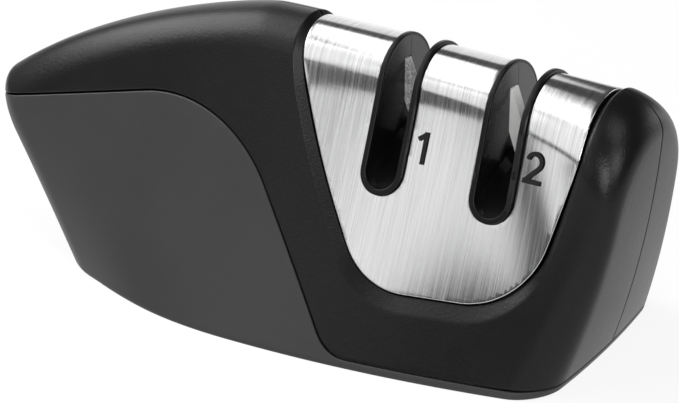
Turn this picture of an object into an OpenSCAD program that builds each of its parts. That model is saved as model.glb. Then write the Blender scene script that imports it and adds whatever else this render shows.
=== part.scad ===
// Two-stage pull-through knife sharpener with a lift-out sharpening head.
// Frame: +X towards the nose, -Y towards the front, +Z up.
// The origin is on the foot, under the widest section of the body. Sizes are in millimetres.

/* [Body form] */
// Foot length from the widest section back to the tail
tail_l = 54; // [48:0.5:60]
// Foot length from the widest section to the nose
nose_l = 63.4; // [61:0.2:68]
// Width between the side walls, carried down to the foot without the skirt
body_w = 56.8; // [53:0.2:62]
// How far the skirt flares out of each side wall at the foot
skirt_flare = 4.7; // [3:0.1:6]
// Height at which the skirt starts to flare
skirt_h = 48; // [42:0.5:52]
// Power of the skirt's curve
skirt_power = 2.2; // [1.8:0.1:2.6]
// Share of the half width lost at the tail
tail_taper = 0.41; // [0.3:0.01:0.5]
// Share of the half width lost at the nose
nose_taper = 0.265; // [0.2:0.005:0.32]
// How far the sides of the tail are drawn forward of its middle
tail_bulge = 13.9; // [8:0.1:18]
// How far the sides of the nose are drawn back from its middle
nose_bulge = 1.7; // [0:0.1:4]
// Edge radius round the tail
tail_round = 5.2; // [3:0.1:8]
// Edge radius round the nose
nose_round = 6.8; // [4:0.1:9]
// Outward lean of the tail, per unit of height
tail_lean = 0.742; // [0.6:0.002:0.9]
// Outward lean of the nose, per unit of height
nose_lean = 0.3; // [0.25:0.005:0.36]
// Backward curl of every section, per unit of height squared
curl = 0.0029; // [0.002:0.0001:0.0036]

/* [Crown] */
// Station of the hump
hump_x = 8.5; // [4:0.5:14]
// Height of the hump
hump_h = 56.5; // [55:0.1:62]
// Height of the crown at the tail
tail_h = 30.3; // [26:0.1:34]
// Height of the crown at the nose
nose_h = 50.8; // [50:0.1:53]
// Power of the crown's fall to the tail
tail_fall = 1.34; // [1.2:0.01:1.6]
// Power of the crown's fall to the nose
nose_fall = 1.27; // [1.1:0.01:1.5]
// Crown radius at the tail
crown_r_tail = 12; // [9:0.1:15]
// Crown radius at the widest section
crown_r_mid = 10; // [8:0.1:12]
// Crown radius at the nose
crown_r_nose = 19; // [16:0.1:21]
// Power at which the crown radius grows towards the nose
crown_nose_power = 6; // [4:0.5:8]

/* [Shells] */
// Wall of the shells and of the boot
wall = 2.4; // [2:0.1:3]
// Plane where the front and rear halves meet
parting_y = 1.5; // [0:0.1:3]
// Gap left by the parting line
parting_gap = 0.3; // [0.2:0.05:0.5]
// Station past the tail where the boot's edge starts to rise
boot_tail_x = -95; // [-110:0.5:-88]
// Height of the boot's edge above the foot, at that station
boot_tail_z = 23.6; // [20:0.1:26]
// Station of the boot's shoulder
boot_top_x = -13.4; // [-18:0.1:-8]
// Height of the boot's shoulder, before it is rounded
boot_top_z = 42.1; // [39:0.1:44]
// Radius of the boot's shoulder
boot_top_r = 33; // [26:0.5:38]
// Station where the boot comes down to the strip
boot_foot_x = 20.6; // [17:0.1:24]
// Radius at the foot of the boot's slope
boot_foot_r = 9; // [6:0.5:12]
// Height of the strip round the foot
strip_h = 1.5; // [1.2:0.1:2]

/* [Head] */
// Left end of the head, at the crown
head_x0 = 1.2; // [0:0.1:3]
// Right end of the head, at the crown
head_x1 = 61.5; // [61:0.1:62.5]
// Height where the head's left edge turns in
head_left_z = 50.5; // [48:0.1:52]
// Radius of that turn
head_left_r = 33; // [26:0.5:38]
// Station where the head's left edge bends
head_side_x = 10.4; // [9:0.1:11]
// Height of that bend
head_side_z = 31.9; // [31:0.1:34]
// Radius of that bend
head_side_r = 120; // [80:5:130]
// Height where the head's right edge turns in
head_right_z = 42.1; // [39:0.1:43]
// Lower left corner of the head's outline, before it is rounded
head_low_x0 = 24; // [23:0.1:26]
// Height of the lower left corner
head_low_z0 = 13.1; // [12:0.1:14]
// Lower right corner of the head's outline, before it is rounded
head_low_x1 = 55.3; // [54:0.1:56]
// Height of the lower right corner
head_low_z1 = 14.5; // [14:0.1:16]
// Corner radius of the head's outline
head_corner_r = 15.6; // [12:0.1:17]
// Depth of the steel below the body's surface
recess = 0.6; // [0.5:0.1:1.2]
// Thickness of the steel cover
cover_t = 0.8; // [0.6:0.1:1]
// Width of the bevel at the head's upright sides
bevel_w = 1.1; // [0.8:0.1:1.6]
// How much wider the bevel is under the head
bevel_drop = 1.7; // [1.2:0.1:2.4]
// Depth of the bevel at the head
bevel_d = 1.1; // [0.8:0.1:1.6]
// Clearance between the head and the body
head_gap = 0.5; // [0.4:0.05:0.7]
// Clearance between the head and its well
well_gap = 0.3; // [0.25:0.05:0.4]
// Wall of the well
well_t = 1.6; // [1.2:0.1:2]
// Wall of the cartridge
cartridge_t = 2; // [1.6:0.1:2.4]

/* [Stages] */
// Station of the coarse stage
coarse_x = 23.2; // [22.8:0.1:24]
// Distance between the two stages
stage_pitch = 22.4; // [21.6:0.1:23]
// Width of a knife slot
slot_w = 6.4; // [6:0.1:7]
// Height of the coarse slot's lowest point above the foot
slot_z = 30; // [29:0.1:31]
// How much lower the fine slot's lowest point lies
slot_fall = 1; // [0.4:0.1:1.4]
// Wall of the slot liner
liner_t = 1; // [0.8:0.1:1.2]
// How far the slot's rim stands proud of the steel
rim_proud = 0.5; // [0.3:0.1:0.7]
// Rise of a slot's floor to the middle
floor_rise = 6.4; // [5:0.1:8]
// Run of a slot's floor from its end to the middle
floor_run = 17; // [16:0.5:18]
// Width of the coves along a slot's floor
cove_w = 1.2; // [0.8:0.1:1.4]
// Height of those coves
cove_h = 1.8; // [1.2:0.1:2.2]
// Thickness of a coarse plate
coarse_plate_t = 1.9; // [1.7:0.1:2.2]
// Thickness of a fine plate
fine_plate_t = 2.7; // [2.4:0.1:3]
// Lean of a plate's working edge from the vertical
plate_lean = 20; // [18:0.5:21]
// Depth of a plate's top below the crown
plate_drop = 4.5; // [4.2:0.1:5]
// Working height of a plate
plate_h = 16; // [15:0.5:16.5]
// How far a plate's top stands out of the slot's wall
plate_stand = 0.2; // [0.1:0.1:0.6]
// Width of a plate's working strip
plate_strip_w = 3.3; // [3:0.1:3.6]
// How far a plate reaches into the wall
plate_tail = 4; // [3.6:0.1:4.4]
// Height of a plate's part in the wall
plate_tail_h = 13.2; // [12.6:0.1:13.6]
// Wall left between the slot and that part
tail_skin = 0.7; // [0.6:0.05:0.9]
// Gap between the two plates of a stage
plate_split = 0.6; // [0.4:0.1:1]
// Clearance round a plate
plate_gap = 0.2; // [0.15:0.05:0.3]
// Depth of a plate holder's top below the crown
holder_drop = 10.8; // [10.4:0.1:12]
// Height of a plate holder
holder_h = 7.2; // [6:0.1:7.6]
// Thickness of a holder's cheeks beside the plate
holder_cheek = 2; // [1.6:0.1:2.4]
// Thickness of a holder's web behind the plate
holder_web = 1; // [0.8:0.1:1.4]

/* [Fasteners] */
// Diameter of a plate's cross pin
pin_d = 1.6; // [1.2:0.1:1.8]
// Radial clearance of a pin in its bore
pin_gap = 0.08; // [0.05:0.01:0.1]
// Distance of a cross pin from the plate's edge
pin_edge = 1.4; // [1.3:0.1:1.8]
// Shank diameter of the screws
screw_d = 2.6; // [2.2:0.1:3]
// Head diameter of the screws
screw_head_d = 4.8; // [4.4:0.1:5.2]
// Head height of the screws
screw_head_h = 1.4; // [1.2:0.1:1.8]
// Diameter of the dowels between the shells
dowel_d = 3; // [2.4:0.1:3.4]
// Length of the dowels between the shells
dowel_l = 9; // [7:0.5:10]
// Stations of the two dowels in the handle
handle_dowel_x = [-46, -20]; // [-60:0.5:0]
// Depth of the handle's dowels below the crown
handle_dowel_drop = [5.5, 9.4]; // [4:0.1:12]
// Stations of the two dowels under the head
foot_dowel_x = [30, 52]; // [24:0.5:56]
// Height of the dowels under the head above the base plate
foot_dowel_rise = 4.7; // [4.5:0.1:5]
// Stations of the posts for the base screws
post_x = [-38, 52]; // [-44:0.5:56]
// Distance of the posts from the parting plane
post_y = [5.5, 14]; // [5:0.5:16]
// Stations of the cartridge screws
cartridge_screw_x = [28.4, 49.6]; // [26:0.1:52]
// Height of the cartridge screws above the head's lower corners
cartridge_screw_rise = [7.5, 7.5]; // [6:0.1:9]
// Length of the cartridge screws
screw_l = 16; // [12:0.5:18]
// Depth of the cartridge screws' heads behind the parting plane
screw_seat = 8; // [6:0.5:10]
// Length of the base screws
base_screw_l = 6.4; // [5:0.1:7]
// Wall round a dowel's bore
dowel_wall = 1.1; // [0.9:0.1:1.4]
// Wall round a screw's bore
post_wall = 1.8; // [1.4:0.1:2.2]

/* [Foot] */
// Thickness of the anti-slip pad
pad_t = 1; // [0.8:0.1:1.4]
// Thickness of the base plate
base_t = 2.4; // [2:0.1:3]
// Clearance between the base plate and the boot
base_gap = 0.3; // [0.2:0.05:0.5]
// How far the pad's edge lies inside the base plate's edge
pad_margin = 3; // [2:0.5:5]
// Width of the ledge in the boot that the base plate holds down
ledge_w = 4; // [3.6:0.1:5]
// Thickness of that ledge
ledge_t = 1.6; // [1.2:0.1:2]

/* [Hidden] */

// Faces along the sections: wall, crown, rounded ends, body and corners of outlines
wall_steps = 6;
crown_steps = 6;
round_steps = 4;
body_steps = 16;
corner_steps = 8;
// Shares at which the end faces are filled
cap_shares = [0.35, 0.7];
// Length that runs past the body on every side
reach = 60;
// Small overlap that keeps cuts clean
cut = 1;
fine_x = coarse_x + stage_pitch;
$fn = 40;
// Stage the front and rear plates stand on: front plates lean from the left wall, rear ones from the right
front = -1;
rear = 1;
shell_gap = 0.3;
screw_gap = 0.2;
bore_end = 0.3;
half_gap = 0.1;
seat_gap = 0.1;
seat = recess + cover_t + seat_gap;
base_top = pad_t + base_t;
bevel_steps = 3;
plate_edge = slot_w / 2 - plate_stand;
plate_foot = plate_h * tan(plate_lean);
strip_drop = (plate_strip_w - plate_stand - tail_skin) / tan(plate_lean);
holder_gap = 0.15;
holder_x = slot_w / 2 + liner_t + holder_gap;
holder_w = plate_tail - liner_t + holder_web;
pin_x = slot_w / 2 + plate_tail - pin_edge;
dowel_boss_r = dowel_d / 2 + dowel_wall;
post_r = screw_d / 2 + post_wall;
black = [0.08, 0.08, 0.085];
grey = [0.27, 0.27, 0.28];
steel = [0.78, 0.78, 0.79];

// Position along the body, -1 at the tail and 1 at the nose
function along(x) = x < 0 ? x / tail_l : x / nose_l;
function share(x) = (along(x) + 1) / 2;
function half_w(x) = body_w / 2 * (1 - (x < 0 ? tail_taper : nose_taper) * pow(along(x), 2));
function crown_z(x) = x < hump_x
    ? hump_h - (hump_h - tail_h) * pow((hump_x - x) / (hump_x + tail_l), tail_fall)
    : hump_h - (hump_h - nose_h) * pow((x - hump_x) / (nose_l - hump_x), nose_fall);
function crown_r(x) = crown_r_mid
    + (x < 0 ? (crown_r_tail - crown_r_mid) * pow(along(x), 2)
        : (crown_r_nose - crown_r_mid) * pow(along(x), crown_nose_power));
function lean(x) = nose_lean * share(x) - tail_lean * (1 - share(x));
function bulge(x) = (x < 0 ? -tail_bulge : nose_bulge) * pow(along(x), 2);
function flare(z) = skirt_flare * pow(max(0, 1 - z / skirt_h), skirt_power);

// Section whose crown lies at x, and the crown's height there
function crown_at(x, x0, turns) = turns == 0 ? x0
    : crown_at(x, x - lean(x0) * crown_z(x0) + curl * pow(crown_z(x0), 2), turns - 1);
function ridge(x) = crown_z(crown_at(x, x, 12));

// Half of a section as [distance from the middle, height], from the foot up the wall and round the crown
function half_section(b, h, r) =
    let (cz = h - r, tilt = 90 - atan2(cz, b) - asin(r / norm([b, cz])),
        ty = r * cos(tilt), tz = cz + r * sin(tilt))
    concat(
        [for (i = [0 : wall_steps - 1])
            let (k = i / wall_steps) [b + (ty - b) * k + flare(tz * k), tz * k]],
        [for (i = [0 : crown_steps])
            let (a = tilt + (90 - tilt) * i / crown_steps, z = cz + r * sin(a))
            [i == crown_steps ? 0 : r * cos(a) + flare(z), z]]);

// How far the side wall comes in between the foot and the height z, at the widest section
function draft(z) =
    let (h = half_section(body_w / 2, crown_z(0), crown_r_mid), k = z / h[wall_steps][1])
    (body_w / 2 - h[wall_steps][0] + flare(h[wall_steps][1])) * k + flare(0) - flare(z);

// One section of the body, drawn in by inset, scaled about the foot by k and carried down by drop
function ring(x, inset, k, drop) =
    let (h = half_section(half_w(x) - inset, crown_z(x) - inset, max(1, crown_r(x) - inset)),
        f = concat(drop > 0 ? [[h[0][0], -drop]] : [], h), n = len(f))
    [for (i = [0 : 2 * n - 2])
        let (p = f[i < n ? i : 2 * n - 2 - i], y = (i < n ? -1 : 1) * p[0] * k, z = p[1] * k)
        [x + lean(x) * z - curl * z * z - bulge(x) * pow(2 * y / body_w, 2), y, z]];

// All sections from the tail to the nose
function rings(inset, drop) =
    let (xt = -tail_l + inset, xn = nose_l - inset,
        rt = max(1, tail_round - inset), rn = max(1, nose_round - inset))
    concat(
        [for (k = cap_shares) ring(xt, inset + rt, k, drop)],
        [for (i = [0 : round_steps]) let (a = 90 * (1 - i / round_steps))
            ring(xt + rt * (1 - sin(a)), inset + rt * (1 - cos(a)), 1, drop)],
        [for (i = [1 : body_steps - 1])
            ring(xt + rt + (xn - rn - xt - rt) * i / body_steps, inset, 1, drop)],
        [for (i = [0 : round_steps]) let (a = 90 * i / round_steps)
            ring(xn - rn * (1 - sin(a)), inset + rn * (1 - cos(a)), 1, drop)],
        [for (i = [len(cap_shares) - 1 : -1 : 0]) ring(xn, inset + rn, cap_shares[i], drop)]);

base_inset = wall + base_gap + draft(base_top);
function plate_top(x) = ridge(x) - plate_drop;
function plate_t(x) = x == coarse_x ? coarse_plate_t : fine_plate_t;
function plate_mid(x, side) = parting_y + side * (plate_t(x) + plate_split) / 2;
function holder_t(x) = plate_t(x) + 2 * holder_cheek;
function slot_low(x) = slot_z - slot_fall * (x - coarse_x) / stage_pitch;
function holder_top(x) = ridge(x) - holder_drop;
function pin_z(x) = holder_top(x) - holder_h / 2;
// Dowels in the front view, then cartridge screws in the front view
dowel_at = concat(
    [for (i = [0, 1]) [handle_dowel_x[i], ridge(handle_dowel_x[i]) - handle_dowel_drop[i]]],
    [for (x = foot_dowel_x) [x, base_top + foot_dowel_rise]]);
screw_at = [[cartridge_screw_x[0], head_low_z0 + cartridge_screw_rise[0]],
    [cartridge_screw_x[1], head_low_z1 + cartridge_screw_rise[1]]];

// Outline of the foot, drawn in by inset
function foot_outline(inset) =
    let (all = rings(inset, 0), n = len(all), m = len(all[0]))
    concat([for (r = all) [r[0][0], r[0][1]]],
        [for (i = [n - 1 : -1 : 0]) [all[i][m - 1][0], all[i][m - 1][1]]]);

function unit(v) = v / norm(v);

// Arc that rounds the corner v between p and n
function corner(p, v, n, r) = r == 0 ? [v] :
    let (a = unit(p - v), b = unit(n - v), half = acos(a * b) / 2,
        c = v + unit(a + b) * r / sin(half),
        s = v + a * r / tan(half) - c, e = v + b * r / tan(half) - c,
        from = atan2(s[1], s[0]), turn = (atan2(e[1], e[0]) - from + 540) % 360 - 180)
    [for (i = [0 : corner_steps])
        c + r * [cos(from + turn * i / corner_steps), sin(from + turn * i / corner_steps)]];

// Outline through points given as [x, z, corner radius]
function rounded(path) =
    let (n = len(path), flat = [for (p = path) [p[0], p[1]]])
    [for (i = [0 : n - 1]) each corner(flat[(i + n - 1) % n], flat[i], flat[(i + 1) % n], path[i][2])];

head_path = [[head_x0, 2 * reach, 0], [head_x0, head_left_z, head_left_r],
    [head_side_x, head_side_z, head_side_r],
    [head_low_x0, head_low_z0, head_corner_r], [head_low_x1, head_low_z1, head_corner_r],
    [head_x1, head_right_z, head_corner_r], [head_x1, 2 * reach, 0]];
boot_path = [[-2 * reach, -reach, 0], [-2 * reach, boot_tail_z, 0], [boot_tail_x, boot_tail_z, 0],
    [boot_top_x, boot_top_z, boot_top_r], [boot_foot_x, strip_h, boot_foot_r],
    [2 * reach, strip_h, 0], [2 * reach, -reach, 0]];

// The body's form, drawn in by inset
module loaf(inset = 0, drop = 0) {
    all = rings(inset, drop);
    n = len(all);
    m = len(all[0]);
    mid = (m - 1) / 2;
    polyhedron(
        points = [for (r = all) each r],
        faces = concat(
            [for (r = [0 : n - 2], i = [0 : m - 2]) [r * m + i, r * m + i + 1, (r + 1) * m + i + 1]],
            [for (r = [0 : n - 2], i = [0 : m - 2]) [r * m + i, (r + 1) * m + i + 1, (r + 1) * m + i]],
            [for (r = [0 : n - 2]) [r * m, (r + 1) * m, (r + 1) * m + m - 1]],
            [for (r = [0 : n - 2]) [r * m, (r + 1) * m + m - 1, r * m + m - 1]],
            [for (i = [0 : m - 1]) if (i != mid && i != mid - 1) [mid, (i + 1) % m, i]],
            [for (i = [0 : m - 1]) if (i != mid && i != mid - 1)
                [(n - 1) * m + mid, (n - 1) * m + i, (n - 1) * m + (i + 1) % m]]),
        convexity = 4);
}

// Runs a front-view outline through the body
module across() {
    rotate([90, 0, 0]) linear_extrude(height = 2 * reach, center = true) children();
}

module head_region(grow = 0, drop = 0) {
    across() translate([0, -drop]) offset(delta = grow) polygon(rounded(head_path));
}

module boot_region(grow = 0) {
    across() offset(delta = grow) polygon(rounded(boot_path));
}

module slot_region(x, grow = 0) {
    across() translate([x, slot_low(x) + slot_w / 2]) {
        circle(r = slot_w / 2 + grow);
        translate([-slot_w / 2 - grow, 0]) square([slot_w + 2 * grow, reach]);
    }
}

// Everything in front of the parting plane, or behind it
module half(side, gap) {
    translate([-2 * reach, side == front ? parting_y - gap / 2 - 2 * reach : parting_y + gap / 2, -reach])
        cube([4 * reach, 2 * reach, 3 * reach]);
}

// Rounded bar along Y at a point of the front view
module bar(at, r, y0, y1) {
    translate([at[0], y1, at[1]]) rotate([90, 0, 0]) cylinder(r = r, h = y1 - y0);
}

// Bevel cut round the notch, in steps
module bevel_cut() {
    for (i = [0 : bevel_steps - 1])
        difference() {
            head_region(head_gap + bevel_w * (1 - i / bevel_steps), bevel_drop * (1 - i / bevel_steps));
            loaf(bevel_d * (i + 1) / bevel_steps, cut);
        }
}

// Bosses for the dowels and posts for the base screws, clear of the boot's wall
module shell_bosses(side) {
    difference() {
        intersection() {
            union() {
                for (at = dowel_at) bar(at, dowel_boss_r, -reach, reach);
                translate([post_x[0], parting_y + side * post_y[0], base_top + seat_gap])
                    cylinder(r = post_r, h = reach);
                translate([post_x[1], parting_y + side * post_y[1], base_top + seat_gap])
                    cylinder(r = post_r, h = foot_dowel_rise);
            }
            loaf(wall / 2, cut);
        }
        difference() {
            boot_region(shell_gap);
            loaf(wall + shell_gap, cut);
        }
    }
}

module shell_bores(side) {
    for (at = dowel_at)
        bar(at, dowel_d / 2 + pin_gap,
            parting_y - dowel_l / 2 - bore_end, parting_y + dowel_l / 2 + bore_end);
    for (i = [0, 1]) translate([post_x[i], parting_y + side * post_y[i], 0])
        cylinder(d = screw_d + 2 * pin_gap, h = pad_t + screw_head_h + base_screw_l + bore_end);
}

module shell(side) {
    difference() {
        intersection() {
            union() {
                difference() {
                    loaf();
                    loaf(wall, cut);
                    boot_region(shell_gap);
                }
                shell_bosses(side);
            }
            half(side, parting_gap);
        }
        head_region(head_gap);
        bevel_cut();
        shell_bores(side);
    }
}

module front_shell() {
    color(black) resize([0, 0, 0]) shell(front);
}

module rear_shell() {
    color(black) resize([0, 0, 0]) shell(rear);
}

// Boot, with the ledge that the base plate holds down
module grip_boot() {
    color(grey) resize([0, 0, 0]) intersection() {
        boot_region();
        union() {
            difference() {
                loaf();
                loaf(wall, cut);
            }
            intersection() {
                difference() {
                    loaf(wall / 2, cut);
                    loaf(wall + ledge_w, cut);
                }
                translate([-2 * reach, -reach, base_top + seat_gap]) cube([4 * reach, 2 * reach, ledge_t]);
            }
        }
    }
}

module base_plate() {
    color(black) difference() {
        translate([0, 0, pad_t]) linear_extrude(height = base_t) polygon(foot_outline(base_inset));
        for (i = [0, 1], side = [front, rear])
            translate([post_x[i], parting_y + side * post_y[i], 0]) {
                cylinder(d = screw_d + 2 * screw_gap, h = reach);
                cylinder(d = screw_head_d + 2 * screw_gap, h = pad_t + screw_head_h);
            }
    }
}

module anti_slip_pad() {
    color(grey) linear_extrude(height = pad_t) polygon(foot_outline(base_inset + pad_margin));
}

// U-shaped trough that the head drops into
module head_well() {
    color(black) resize([0, 0, 0]) intersection() {
        loaf(wall + shell_gap);
        difference() {
            head_region(well_gap + well_t);
            head_region(well_gap);
        }
    }
}

module shell_dowels() {
    color(steel) for (at = dowel_at)
        bar(at, dowel_d / 2, parting_y - dowel_l / 2, parting_y + dowel_l / 2);
}

module base_screws() {
    color(steel) for (i = [0, 1], side = [front, rear])
        translate([post_x[i], parting_y + side * post_y[i], pad_t]) {
            cylinder(d = screw_head_d, h = screw_head_h);
            cylinder(d = screw_d, h = screw_head_h + base_screw_l);
        }
}

module steel_cover() {
    color(steel) resize([0, 0, 0]) difference() {
        intersection() {
            difference() {
                loaf(recess);
                loaf(recess + cover_t, cut);
            }
            head_region();
        }
        for (x = [coarse_x, fine_x]) slot_region(x, liner_t + seat_gap);
    }
}

// Plate outline in the front view, from its top and the stage's middle.
// The front plate leans out of the left wall, the rear one out of the right wall.
module plate_outline(side) {
    mirror([side == front ? 0 : 1, 0])
        polygon([[-slot_w / 2 - plate_tail, 0], [-plate_edge, 0], [plate_foot - plate_edge, -plate_h],
            [plate_foot - plate_edge - plate_strip_w, -plate_h], [-slot_w / 2 - tail_skin, -strip_drop],
            [-slot_w / 2 - tail_skin, -plate_tail_h], [-slot_w / 2 - plate_tail, -plate_tail_h]]);
}

module plate_room(x, side) {
    translate([x, plate_mid(x, side), plate_top(x)]) rotate([90, 0, 0])
        linear_extrude(height = plate_t(x) + 2 * plate_gap, center = true)
        offset(delta = plate_gap) plate_outline(side);
}

module plate(x, side) {
    difference() {
        translate([x, plate_mid(x, side), plate_top(x)]) rotate([90, 0, 0])
            linear_extrude(height = plate_t(x), center = true) plate_outline(side);
        bar([x + side * pin_x, pin_z(x)], pin_d / 2 + pin_gap, -reach, reach);
    }
}

module coarse_plate_front() {
    color(steel) plate(coarse_x, front);
}

module coarse_plate_rear() {
    color(steel) plate(coarse_x, rear);
}

module fine_plate_front() {
    color("white") plate(fine_x, front);
}

module fine_plate_rear() {
    color("white") plate(fine_x, rear);
}

// Block behind the slot's wall that holds a plate's tail
module holder(x, side) {
    translate([x, plate_mid(x, side), 0]) mirror([side == front ? 0 : 1, 0, 0]) difference() {
        translate([-holder_x - holder_w, -holder_t(x) / 2, holder_top(x) - holder_h])
            cube([holder_w, holder_t(x), holder_h]);
        translate([-slot_w / 2 - plate_tail - plate_gap, -plate_t(x) / 2 - plate_gap, 0])
            cube([slot_w, plate_t(x) + 2 * plate_gap, 2 * reach]);
        bar([-pin_x, pin_z(x)], pin_d / 2 + pin_gap, -reach, reach);
    }
}

module coarse_holder_front() {
    color(black) holder(coarse_x, front);
}

module coarse_holder_rear() {
    color(black) holder(coarse_x, rear);
}

module fine_holder_front() {
    color(black) holder(fine_x, front);
}

module fine_holder_rear() {
    color(black) holder(fine_x, rear);
}

module plate_pins() {
    color(steel) for (x = [coarse_x, fine_x], side = [front, rear])
        bar([x + side * pin_x, pin_z(x)], pin_d / 2,
            plate_mid(x, side) - holder_t(x) / 2, plate_mid(x, side) + holder_t(x) / 2);
}

// Half of a slot's floor, which falls from the middle to its end and has coves along the walls
module slot_floor(x, side) {
    translate([x, parting_y, slot_low(x) + floor_rise])
        multmatrix([[1, 0, 0, 0], [0, 1, 0, 0], [0, -side * floor_rise / floor_run, 1, 0]])
        translate([0, side == front ? 0 : reach, 0]) rotate([90, 0, 0]) linear_extrude(height = reach)
        polygon([[-slot_w, -reach], [slot_w, -reach], [slot_w, cove_h], [slot_w / 2, cove_h],
            [slot_w / 2 - cove_w, 0], [cove_w - slot_w / 2, 0], [-slot_w / 2, cove_h], [-slot_w, cove_h]]);
}

module slot_room(x) {
    difference() {
        slot_region(x);
        for (side = [front, rear]) slot_floor(x, side);
    }
}

module cartridge(side) {
    difference() {
        union() {
            difference() {
                intersection() {
                    loaf(seat);
                    head_region();
                }
                intersection() {
                    loaf(seat + cartridge_t);
                    head_region(-cartridge_t);
                }
            }
            intersection() {
                loaf(recess - rim_proud);
                for (x = [coarse_x, fine_x]) slot_region(x, liner_t);
            }
            intersection() {
                loaf(seat + cartridge_t / 2);
                for (at = screw_at) bar(at, screw_head_d / 2 + dowel_wall, -reach, reach);
            }
        }
        half(-side, -half_gap);
        for (x = [coarse_x, fine_x]) {
            slot_room(x);
            for (s = [front, rear]) plate_room(x, s);
        }
        for (at = screw_at) {
            bar(at, screw_d / 2 + pin_gap, parting_y - screw_l + screw_seat - bore_end, parting_y + reach);
            bar(at, screw_head_d / 2 + screw_gap, parting_y + screw_seat, parting_y + reach);
        }
    }
}

module cartridge_front() {
    color(black) resize([0, 0, 0]) cartridge(front);
}

module cartridge_rear() {
    color(black) resize([0, 0, 0]) cartridge(rear);
}

module cartridge_screws() {
    color(steel) for (at = screw_at) {
        bar(at, screw_d / 2, parting_y - screw_l + screw_seat, parting_y + screw_seat + screw_head_h);
        bar(at, screw_head_d / 2, parting_y + screw_seat, parting_y + screw_seat + screw_head_h);
    }
}

front_shell();
rear_shell();
grip_boot();
base_plate();
anti_slip_pad();
head_well();
shell_dowels();
base_screws();
steel_cover();
cartridge_front();
cartridge_rear();
coarse_plate_front();
coarse_plate_rear();
fine_plate_front();
fine_plate_rear();
coarse_holder_front();
coarse_holder_rear();
fine_holder_front();
fine_holder_rear();
plate_pins();
cartridge_screws();
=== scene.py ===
"""Looks of the two-stage knife sharpener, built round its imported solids.

Lengths are in millimetres until a mesh is made, and the frame is the solids' own:
+X towards the nose, -Y towards the front, +Z up from the foot.
"""

import logging
import math
from dataclasses import dataclass, field
from enum import Enum
from typing import Any, Callable, Optional, Sequence, Union

import bmesh
import bpy
import numpy as np
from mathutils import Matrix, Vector


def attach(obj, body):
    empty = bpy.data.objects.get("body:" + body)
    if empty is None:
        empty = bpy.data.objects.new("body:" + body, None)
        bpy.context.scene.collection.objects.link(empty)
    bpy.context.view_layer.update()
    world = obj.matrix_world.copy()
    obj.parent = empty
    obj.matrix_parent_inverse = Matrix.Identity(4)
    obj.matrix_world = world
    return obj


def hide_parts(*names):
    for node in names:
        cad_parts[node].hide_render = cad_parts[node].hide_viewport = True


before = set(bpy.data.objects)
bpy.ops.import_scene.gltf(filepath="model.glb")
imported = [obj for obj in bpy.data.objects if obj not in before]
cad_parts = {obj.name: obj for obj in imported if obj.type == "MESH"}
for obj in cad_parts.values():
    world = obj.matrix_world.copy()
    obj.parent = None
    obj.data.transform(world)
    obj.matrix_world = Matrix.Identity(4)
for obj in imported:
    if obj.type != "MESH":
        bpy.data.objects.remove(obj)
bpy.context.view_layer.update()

LOG = logging.getLogger("sharpener")
MM = 0.001
Field = Callable[[np.ndarray], np.ndarray]
Profile = Callable[[np.ndarray, np.ndarray, np.ndarray], list[np.ndarray]]
Colour = tuple[float, float, float]


class Side(Enum):
    """Halves of the body, each with its direction along Y."""

    FRONT = -1
    REAR = 1


class Stage(Enum):
    """Sharpening stages, each with the numeral that marks it."""

    COARSE = "1"
    FINE = "2"


# Shader maths


class Sock:
    """A node's output that can be used in sums."""

    def __init__(self, graph: "Graph", socket: bpy.types.NodeSocket) -> None:
        """Keeps the socket and the graph that new nodes go to."""
        self.graph = graph
        self.socket = socket

    def _maths(self, kind: str, first: Any, second: Any) -> "Sock":
        """Adds one Math node of that kind."""
        return self.graph.node("ShaderNodeMath", {"operation": kind}, {0: first, 1: second})

    def __add__(self, other: Any) -> "Sock":
        """Sum."""
        return self._maths("ADD", self, other)

    __radd__ = __add__

    def __sub__(self, other: Any) -> "Sock":
        """Difference."""
        return self._maths("SUBTRACT", self, other)

    def __rsub__(self, other: Any) -> "Sock":
        """Difference from a number."""
        return self._maths("SUBTRACT", other, self)

    def __mul__(self, other: Any) -> "Sock":
        """Product."""
        return self._maths("MULTIPLY", self, other)

    __rmul__ = __mul__


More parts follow.
